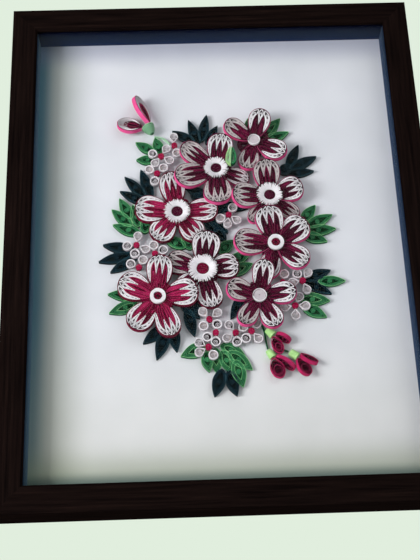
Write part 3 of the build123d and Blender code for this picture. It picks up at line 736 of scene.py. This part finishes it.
hearts, rings = newStore(), newStore()
foot, strip = place["leafStrip"] + place["glueGap"], place["fillerStrip"]
heart, top = fillers["heart"], foot + fillers["postRise"]
for x, z, *angles in fillers["groups"]:
    addCoil(hearts, x, z, *fillers["post"], 0, top, perTurn=14)
    addCoil(hearts, x, z, 0.15, heart, top, foot + strip - 0.3, dome=fillers["dome"], perTurn=20)
    for angle in angles:
        spot = tiltedPlace(x, z, foot, angle)
        shape = fillers["drop"] if dice.random() < fillers["dropShare"] else fillers["round"]
        r, centre = shape["radius"], shape["reach"]
        for k in range(shape["turns"]):
            ring = r - shape["pitch"] * k - 0.16
            tipAt = min(heart - 0.1 + 2.4 * (r - ring), centre - ring - 0.3)
            # a round end with straight sides drawn to the heart
            sweep = pi / 2 + asin(min(0.99, ring / (centre - tipAt)))
            path = [(tipAt, -0.1), *arc(centre, ring, -sweep, sweep, 26), (tipAt, 0.1)]
            # tops in white, sides in a greyer white as painted shade
            addStrip(rings, path, spot, 0, strip - 0.25 * dice.random(), shape["wall"], side=1)
        inside = r - shape["pitch"] * shape["turns"] - 0.1
        coil = spiralPath(centre + shape["shift"], 0, 0.35, inside - shape["shift"], shape["loose"],
                          dice.uniform(0, 6), 18)
        addStrip(rings, coil, spot, 0, strip - shape["sunk"], fillers["coilWall"], side=1)
        # a floor inside the loop: near-black as painted shade for a share of them, cream for the
        # rest
        floor = arc(centre, inside + 0.2, 0, 2 * pi, 16)[:-1]
        addSheet(rings, floor, spot, *fillers["floor"], 2 if dice.random() < shape["dark"] else 3)
makePiece("fillerHearts", hearts, ["heartPaper"], "crimson_paper", "filler_hearts")
makePiece("fillerLoops", rings, ["whitePaper", "whiteSideShade", "shadeFloorPaper", "creamPaper"],
          "white_paper", "filler_loops")
print("fillers made")


pinkBud = dict(
    # foot, tip, width, height, turn
    petals=(((-55.8, 112), (-67, 139.5), 15, 8.6, 52),
            ((-60.6, 109.4), (-83, 115), 15, 5.8, 12)),
    cup=((-53, 103.5), (-57, 111), 2.0, 5.6),
    stem=((-51.5, 103.2), (-44, 101), (-38.5, 95.5)),
    shape=dict(widest=0.56, slim=0.8),
    strips=((0.14, 0.24, 3.7), (0.46, 0.34, 4)),  # round it: inset, wall, height
    whiteTurns=7, whiteWall=0.26, coreTurns=9, coreWall=0.34, coreReach=0.74,
)
wraps, whites = newStore(), newStore()
shape = pinkBud["shape"]
for base, tip, width, height, turn in pinkBud["petals"]:
    length, angle = aim(base, tip)
    spot = tiltedPlace(*base, height, angle, 0, turn, 2)
    addWraps(wraps, spot, 0, length, width, pinkBud["strips"], **shape)
    addSheet(wraps, wrapPath(0, length, width, 0.8, 14, **shape)[:-1], spot, *petalLook["floor"], 2)
    for k in range(pinkBud["whiteTurns"]):
        band = wrapPath(0.6, length - 0.7 - 0.95 * k, width - 1.3, 0.14 + 0.32 * k, 18, **shape)
        addStrip(whites, [p for p in band if p[0] > 2 + 1.2 * k], spot, petalLook["foot"],
                 3.95 - 0.06 * k, pinkBud["whiteWall"], side=1)
    for k in range(pinkBud["coreTurns"]):
        turned = wrapPath(0.9 - 0.6 * k, length * pinkBud["coreReach"], width - 6.0,
                          0.1 + 0.40 * k, 14, **shape)
        addStrip(wraps, turned, spot, 0, 3.8 - 0.5 * dice.random(), pinkBud["coreWall"], 1 + k % 2)
makePiece("pinkBudPetals", wraps, ["pinkPaper", "burgundyPaper", "crimsonBright"],
          "pink_paper", "pink_bud_petals")
makePiece("pinkBudWhites", whites, ["whitePaper", "whiteSideShade"], "white_paper", "pink_bud_loops")


def addLathe(store, profile, spot, segments, mats=(0,)):
    # a turned shape from (along, radius); tidyMesh closes it where the radius is 0
    base = len(store.verts)
    for u, r in profile:
        store.verts += [spot(u, v, w) for v, w in arc(0, r, 0, 2 * pi, segments)[:-1]]
    joinRings(store, base, segments, lambda i, k: mats[i % len(mats)])


cupLook = dict(wall=0.9, segments=28, step=(-0.24, 0.08), stepShare=0.3)


def addCup(store, backEnd, mouth, backRadius, mouthRadius, turns):
    # a rolled cone: each turn of the strip shows as a step
    length, angle = aim(backEnd, mouth)
    spot = tiltedPlace(*backEnd, mouthRadius / cos(pi / 8), angle)
    wall = cupLook["wall"]
    profile = [(0.0, 0.0), (0.0, backRadius * 0.72)]
    for i in range(turns):
        share = i / turns
        r = backRadius + (mouthRadius - backRadius) * sin(pi / 2 * share) ** 0.8
        profile += [(length * share + 0.02, r + cupLook["step"][0]),
                    (length * (share + cupLook["stepShare"] / turns), r + cupLook["step"][1])]
    profile += [(length - 0.05, mouthRadius), (length, mouthRadius - wall * 0.5),
                (length - 0.1, mouthRadius - wall), (wall, backRadius * 0.4), (wall, 0.0)]
    # the bands alternate, so each step between turns takes the first paper, darker: painted shade
    addLathe(store, profile, spot, cupLook["segments"], (0, 1))


def tidyMesh(piece):
    # merge the points at a lathe's poles and face every side outwards
    bm = bmesh.new()
    bm.from_mesh(piece.data)
    bmesh.ops.remove_doubles(bm, verts=bm.verts, dist=1e-7)
    bmesh.ops.recalc_face_normals(bm, faces=bm.faces)
    bm.to_mesh(piece.data)
    bm.free()


store = newStore()
addCup(store, *pinkBud["cup"], turns=6)
tidyMesh(makePiece("pinkBudCup", store, ["mintStepShade", "mintPaper"], "mint_paper", "pink_bud_cup"))

smallBuds = dict(
    cups=(((35.5, -76.5), (40.3, -81.6), 3.0, 3.6), ((35.5, -94), (39, -100), 2.6, 3.2),
          ((52.5, -96), (58.2, -100.4), 3.0, 3.6)),
    petals=(
        ((39.5, -82.9), (46, -97), 8.5, 4.2, 0), ((42.3, -80.2), (53.5, -87.5), 8, 4.6, 74),
        ((38.2, -100.9), (45, -117), 11, 4.2, 0), ((41, -99.2), (55.5, -110.5), 9, 5.2, 72),
        ((57.5, -101.9), (66.5, -116), 11, 5.4, -28), ((59.8, -98.8), (73.5, -106.5), 9, 5.2, -48)),
    stems=(((31, -71), (33, -77), (34, -85), (35, -92)), ((46.5, -92.5), (51, -94.8))),
    strip=3.2, turns=7, floor=(0.1, 0.4), shape=dict(widest=0.58, slim=0.6),
)
store = newStore()
for cup in smallBuds["cups"]:
    addCup(store, *cup, turns=5)
tidyMesh(makePiece("smallBudCups", store, ["paleGreenPaper"] * 2, "mint_paper", "small_bud_cups"))
store, shape, half = newStore(), smallBuds["shape"], smallBuds["strip"] / 2
for base, tip, width, height, turn in smallBuds["petals"]:
    length, angle = aim(base, tip)
    spot = tiltedPlace(*base, height, angle, 0, turn, half)
    floor = wrapPath(0.2, length, width, 0.5, 12, **shape)[:-1]
    # a burgundy sheet under the petal: painted shade
    addSheet(store, floor, spot, *smallBuds["floor"], 2)
    for k in range(smallBuds["turns"]):
        wall, inset = (0.5, 0.25) if k == 0 else (0.40, 0.2 + 0.78 * k)
        far = length - 0.5 * k
        if width / 2 - inset > 0.45 and far - inset > 1.3 * k + petalLook["tipWalls"] * inset + 1:
            # tops alternate bright and plain crimson as painted highlight; the inner turns' sides
            # in burgundy as painted shade
            addStrip(store, wrapPath(1.3 * k, far, width, inset, 14, **shape), spot, 0,
                     2 * half - 0.15 * k, wall, 1 if k % 2 else 0, side=0 if k == 0 else 2)
makePiece("smallBudPetals", store, ["crimsonBright", "crimsonPaper", "burgundyPaper"],
          "crimson_paper", "small_bud_petals")


def smoothLine(points, steps=8):
    # a soft curve through the points
    line = []
    for i in range(len(points) - 1):
        p0, p1, p2, p3 = (points[max(0, min(len(points) - 1, i + k))] for k in (-1, 0, 1, 2))
        for j in range(steps + (i == len(points) - 2)):
            t = j / steps
            line.append(tuple(0.5 * (2 * b + (c - a) * t + (2 * a - 5 * b + 4 * c - d) * t * t
                                     + (3 * b - a - 3 * c + d) * t ** 3)
                              for a, b, c, d in zip(p0, p1, p2, p3)))
    return line


def addStem(store, points, high, wall, across, beside, lower, thin):
    # two strips side by side
    line = smoothLine(points)
    addStrip(store, line, flat, 0, high, wall)
    addStrip(store, [(x + across, z + beside) for x, z in line], flat, 0, lower, thin)


store = newStore()
addStem(store, pinkBud["stem"], 2.0, 0.4, 0.4, 0.5, 1.9, 0.3)
makePiece("pinkBudStem", store, ["stemPaper"], "mint_paper", "pink_bud_stem")
store = newStore()
for points in smallBuds["stems"]:
    addStem(store, points, 2.0, 0.7, 0.6, 0.2, 1.8, 0.4)
makePiece("smallBudStems", store, ["greenDeep"], "green_paper", "small_bud_stems")

spiralBud = dict(
    tip=(13.6, 84.5), base=(12.4, 67), width=9.4, lift=2.15, turns=6, wall=0.26,
)
store = newStore()
length, angle = aim(spiralBud["tip"], spiralBud["base"])
height = place["leafStrip"] + spiralBud["lift"] * place["petalStrip"]
spot = tiltedPlace(*spiralBud["tip"], height, angle)
half = spiralBud["width"] / 2
for side, mat in ((-1, 0), (1, 1)):
    for k in range(spiralBud["turns"]):
        path = turnPath(lambda s: (s * length, min(0, side) * half * swell(s)),
                        lambda s: (s * length, max(0, side) * half * swell(s)),
                        0.02, 1 - 0.03 * k, 0.2 + 0.34 * k, 0.12, 12)
        if path:
            addStrip(store, path, spot, 0, 4.0 - 0.25 * k, spiralBud["wall"], mat + 2 * (k % 2))
makePiece("spiralBud", store, ["paleGreenPaper", "greenDeep", "stemPaper", "greenPaper"],
          "mint_paper", "spiral_bud")
print("buds made")


woodLook = dict(
    stops=((0.32, (9, 6, 6)), (0.62, (24, 16, 14)), (0.86, (44, 30, 26))),
    grain=dict(Scale=420, Detail=6, Roughness=0.62),
    stretch=0.035,  # of the pattern along the rail
    pores=dict(Scale=1500, Detail=2), poreRelief=(0.22, 0.0002),
    sheen=(0.46, 0.62), shine=0.0,
)


def woodMaterial(name, scale):
    # stained wood: long streaks and short pores along the rail, under a dull varnish
    material, tree, shader, spot = newMaterial(name)
    stretched = addNode(tree, "Mapping", {"Vector": spot, "Scale": scale})["Vector"]
    grain, pores = (addNode(tree, "TexNoise", {"Vector": stretched} | woodLook[part])["Fac"]
                    for part in ("grain", "pores"))
    feed(shader, {"Base Color": addRamp(tree, grain, woodLook["stops"]),
                  "Roughness": addSheen(tree, grain, *woodLook["sheen"]),
                  "Normal": addBump(tree, pores, *woodLook["poreRelief"]),
                  "Specular IOR Level": woodLook["shine"]})


woodMaterial("stainedWoodAcross", (woodLook["stretch"], 1, 1))
woodMaterial("stainedWoodUp", (1, 1, woodLook["stretch"]))

rails = dict(
    corners=((-172.5, 441), (172.5, 441), (172.5, 0), (-172.5, 0)), soften=1.0, mitreGap=0.04,
    # the section as (inwards, back) from its softened corner: face, bevel, lip, rabbet, outside
    section=((19.45, 0), (19.765, 0.08), (20.02, 0.3), (21.05, 1.55), (21.2, 1.9), (21.2, 3.5),
             (14, 3.5), (14, 34.9), (13.7, 35.2), (0.6, 35.2), (0.15, 35.05), (0, 34.6)),
)
ease, corners = rails["soften"], rails["corners"]
section = [(ease * (1 - cos(radians(a))), ease * (1 - sin(radians(a)))) for a in range(0, 91, 18)]
section += rails["section"]
for i, name in enumerate(("top", "right", "bottom", "left")):
    # from this corner to the next
    (x, z), (endX, endZ) = corners[i], corners[(i + 1) % 4]
    length = abs(endX - x) + abs(endZ - z)
    along, up = (endX - x) / length, (endZ - z) / length
    store = newStore()
    for far in (False, True):
        for inwards, back in section:
            run = inwards + rails["mitreGap"]
            run = length - run if far else run
            store.verts.append(Vector((x + along * run + up * inwards, place["front"] + back,
                                       z + up * run - along * inwards)) * mm)
    joinRings(store, 0, len(section), lambda i, k: 0, 0)
    wood, node = "stainedWoodUp" if up else "stainedWoodAcross", f"frame_{name}_rail"
    tidyMesh(makePiece(f"rail_{name}", store, [wood], "dark_wood", node, smooth=30))

glassLook = dict(tint=(0.985, 0.992, 0.99, 1), ior=1.5, mirrored=0.12, mirrorRoughness=0.03)


def glassMaterial():
    # clear picture glass: lets light through and mirrors a little, more at a slant
    material, tree = newTree("pictureGlass")
    tree.nodes.remove(tree.nodes["Principled BSDF"])
    clear = addNode(tree, "BsdfTransparent", {"Color": glassLook["tint"]})["BSDF"]
    mirror = addNode(tree, "BsdfGlossy", {"Roughness": glassLook["mirrorRoughness"]})["BSDF"]
    slant = addNode(tree, "Fresnel", {"IOR": glassLook["ior"]})["Fac"]
    share = addNode(tree, "Math", {0: slant, 1: glassLook["mirrored"]}, operation="MULTIPLY")
    mixShaders(tree, tree.nodes["Material Output"], share["Value"], clear, mirror)
    return material


metals = dict(
    zincSteel=((190, 192, 194), 0.36), nailSteel=((206, 190, 150), 0.3),  # roughness last
    spangles=500, spangleDepth=0.86, spread=(-0.08, 0.1),
)


def metalMaterial(name):
    # plated steel with faint spangles in its colour and sheen
    colour, roughness = metals[name]
    material, tree, shader, spot = newMaterial(name)
    spangle = addNode(tree, "TexVoronoi", {"Vector": spot, "Scale": metals["spangles"]})["Distance"]
    deep = [c * metals["spangleDepth"] for c in colour]
    sheen = addSheen(tree, spangle, *(roughness + more for more in metals["spread"]))
    feed(shader, {"Metallic": 1.0, "Roughness": sheen,
                  "Base Color": addRamp(tree, spangle, ((0, deep), (1, colour)))})
    return material


def dress(material, slot, *nodes):
    for node in nodes:
        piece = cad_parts[node]
        piece.data.materials.clear()
        piece.data.materials.append(material)


boards = dict(
    backing=((128, 96, 66), (158, 122, 86), dict(clouds=300, bump=0.6)),
    mount=((222, 223, 230), (231, 231, 238), dict(clouds=24, bump=0.35)),
    # painted shade towards an edge of the mount, as the frame's walls and lip cast it, and a warmer
    # tint over the lower half: axis, edge, where it is clear, strength, colour
    shadeMargins=(
        ("X", -151.0, -90.0, 0.46, (128, 146, 112)), ("X", -152.0, -132.5, 0.95, (64, 112, 130)),
        ("X", 151.0, 132.0, 0.05, (140, 146, 176)), ("Z", -199.0, -155.0, 0.66, (122, 142, 114)),
        ("Z", 199.0, 168.0, 0.45, (136, 140, 176)), ("Z", -199.0, -20.0, 0.20, (214, 206, 170)),
        ("Z", -196.0, -183.0, 0.72, (58, 90, 90))),
    # the spacers' dark slate paper, each wall its own lit or shaded copy: its colour at the glass
    # and at the board, with painted shade deeper under the lip
    slateAcross=("top", (9, 13, 31), (24, 40, 76)), slateFinish=dict(bump=0.3, shine=0.0),
    slateLeft=("left", (40, 58, 78), (84, 112, 132)),
    slateRight=("right", (30, 42, 64), (52, 68, 92)),
)


def addTone(tree, share, first, second):
    # two colours mixed by a share
    values = {"Factor": share["Result"], "A": first, "B": second}
    return addNode(tree, "Mix", values, data_type="RGBA")["Result"]


def spacerMaterial(name):
    # dark slate paper with painted shade that runs from the glass to the board
    side, front, rear = boards[name]
    material, tree, shader, spot = paperSurface(name, boards["slateFinish"])
    depths = [v.co.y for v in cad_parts[f"spacer_{side}"].data.vertices]
    share = addNode(tree, "MapRange", {"Value": addNode(tree, "SeparateXYZ", {0: spot})["Y"],
                                       "From Min": min(depths), "From Max": max(depths)})
    feed(shader, {"Base Color": addTone(tree, share, linear(front), linear(rear))})
    return material


def mountMaterial():
    # white board with painted shade towards its edges
    material, tree, shader, spot = paperSurface("mountBoard", boards["mount"][2])
    colour = addClouds(tree, spot, *boards["mount"])
    across = addNode(tree, "SeparateXYZ", {0: spot})
    heights = [v.co.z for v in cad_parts["mount_board"].data.vertices]
    middle = {"X": 0.0, "Z": (min(heights) + max(heights)) / 2}
    for axis, edge, clear, strength, tone in boards["shadeMargins"]:
        values = {"Value": across[axis], "From Min": clear * mm + middle[axis],
                  "From Max": edge * mm + middle[axis], "To Max": strength}
        share = addNode(tree, "MapRange", values, interpolation_type="SMOOTHERSTEP")
        colour = addTone(tree, share, colour, linear(tone))
    feed(shader, {"Base Color": colour})
    return material


dress(glassMaterial(), "clear_glass", "glass_pane")
dress(mountMaterial(), "white_board", "mount_board")
dress(paperMaterial("backingBoard", *boards["backing"]), "brown_board", "backing_board")
dress(spacerMaterial("slateAcross"), "white_board", "spacer_top", "spacer_bottom")
dress(spacerMaterial("slateLeft"), "white_board", "spacer_left")
dress(spacerMaterial("slateRight"), "white_board", "spacer_right")
dress(metalMaterial("zincSteel"), "zinc_steel", "framer_points", "sawtooth_hanger")

nails = dict(
    apart=26.0, z=434.0, sheet=1.0,  # the hanger's steel under the heads
    head=2.2, headHeight=0.8, shank=0.7, depth=9.0, point=0.9, segments=20,
)
height, head, shank, end = nails["headHeight"], nails["head"], nails["shank"], -nails["depth"]
dome = [radians(15 * k) for k in range(1, 6)]
nailProfile = [(height, 0.0)] + [(height * cos(a) ** 0.8, head * sin(a)) for a in dome]
nailProfile += [(0.0, head), (0.0, shank), (end, shank * 0.9), (end - nails["point"], 0.0)]
store = newStore()
for side in (-1, 1):
    foot = Vector((side * nails["apart"], place["back"] + nails["sheet"], nails["z"]))
    addLathe(store, nailProfile, lambda d, u, v: (foot + Vector((u, d, v))) * mm, nails["segments"])
metalMaterial("nailSteel")
tidyMesh(makePiece("hangerNails", store, ["nailSteel"], "zinc_steel", "hanger_nails"))
print("frame dressed")


stageLook = dict(
    floorDrop=-0.36, floorHalf=6.0, wall=(225, 238, 222),
    floor=((222, 226, 224), (230, 233, 231), dict(clouds=3, bump=0.05)),
    ambient=dict(Color=(0.97, 0.96, 1.0, 1), Strength=0.34),
)
floorMesh = bpy.data.meshes.new("floor")
s = stageLook["floorHalf"]
floorMesh.from_pydata([(-s, -s, 0), (s, -s, 0), (s, s, 0), (-s, s, 0)], [], [(0, 1, 2, 3)])
floor = bpy.data.objects.new("floor", floorMesh)
floor.location.z = stageLook["floorDrop"]
scene.collection.objects.link(floor)
floorMesh.materials.append(paperMaterial("paleFloor", *stageLook["floor"]))
floor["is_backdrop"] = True

world = bpy.data.worlds.new("studio")
scene.world = world
world.use_nodes = True
tree = world.node_tree
tree.nodes.clear()
ambient = addNode(tree, "Background", stageLook["ambient"])["Background"]
backdrop = addNode(tree, "Background", {"Color": linear(stageLook["wall"])})["Background"]
seen, rays = 0.0, addNode(tree, "LightPath")
for kind in ("Camera", "Glossy", "Transmission"):
    seen = addNode(tree, "Math", {0: rays[f"Is {kind} Ray"], 1: seen}, operation="MAXIMUM")["Value"]
mixShaders(tree, tree.nodes.new("ShaderNodeOutputWorld"), seen, ambient, backdrop)

lamps = dict(
    # place in metres, size, watts, colour
    window=((-1.45, -1.15, -0.12), 0.9, 43.0, (1.0, 0.985, 0.98)),
    fill=((1.2, -1.6, 1.2), 1.6, 10.0, (0.96, 0.98, 1.0)),
    behind=((0.6, 1.8, 1.4), 1.4, 24.0, (1.0, 1.0, 1.0)),
)
for name, (where, size, watts, colour) in lamps.items():
    light = bpy.data.lights.new(name, "AREA")
    light.size, light.energy, light.color = size, watts, colour
    lamp = bpy.data.objects.new(name, light)
    lamp.location = where
    turn = (Vector(where) - Vector((0, 0, 0.22))).to_track_quat("Z", "Y")
    lamp.rotation_euler = turn.to_euler()
    lamp.visible_glossy = False  # or the glass mirrors it
    scene.collection.objects.link(lamp)

view = dict(
    where=(-27.1, -802.6, -152.4),  # mm
    turns=(("Z", -1.334), ("X", 112.915), ("Z", -2.143)),  # yaw, pitch, roll
    sensor=36.0, focal=1080.735 / 560 * 36, clip=(0.05, 50),
)
camera = bpy.data.objects.new("camera", bpy.data.cameras.new("camera"))
camera.data.sensor_width, camera.data.lens = view["sensor"], view["focal"]
camera.data.clip_start, camera.data.clip_end = view["clip"]
camera.matrix_world = Matrix.Translation(Vector(view["where"]) * mm)
for axis, angle in view["turns"]:
    camera.matrix_world = camera.matrix_world @ Matrix.Rotation(radians(angle), 4, axis)
scene.collection.objects.link(camera)
scene.camera = camera
scene.view_settings.view_transform = "Standard"
print("camera and light set")

total = sum(len(o.data.polygons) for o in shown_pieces() if o.type == "MESH")
print("faces in all:", total)
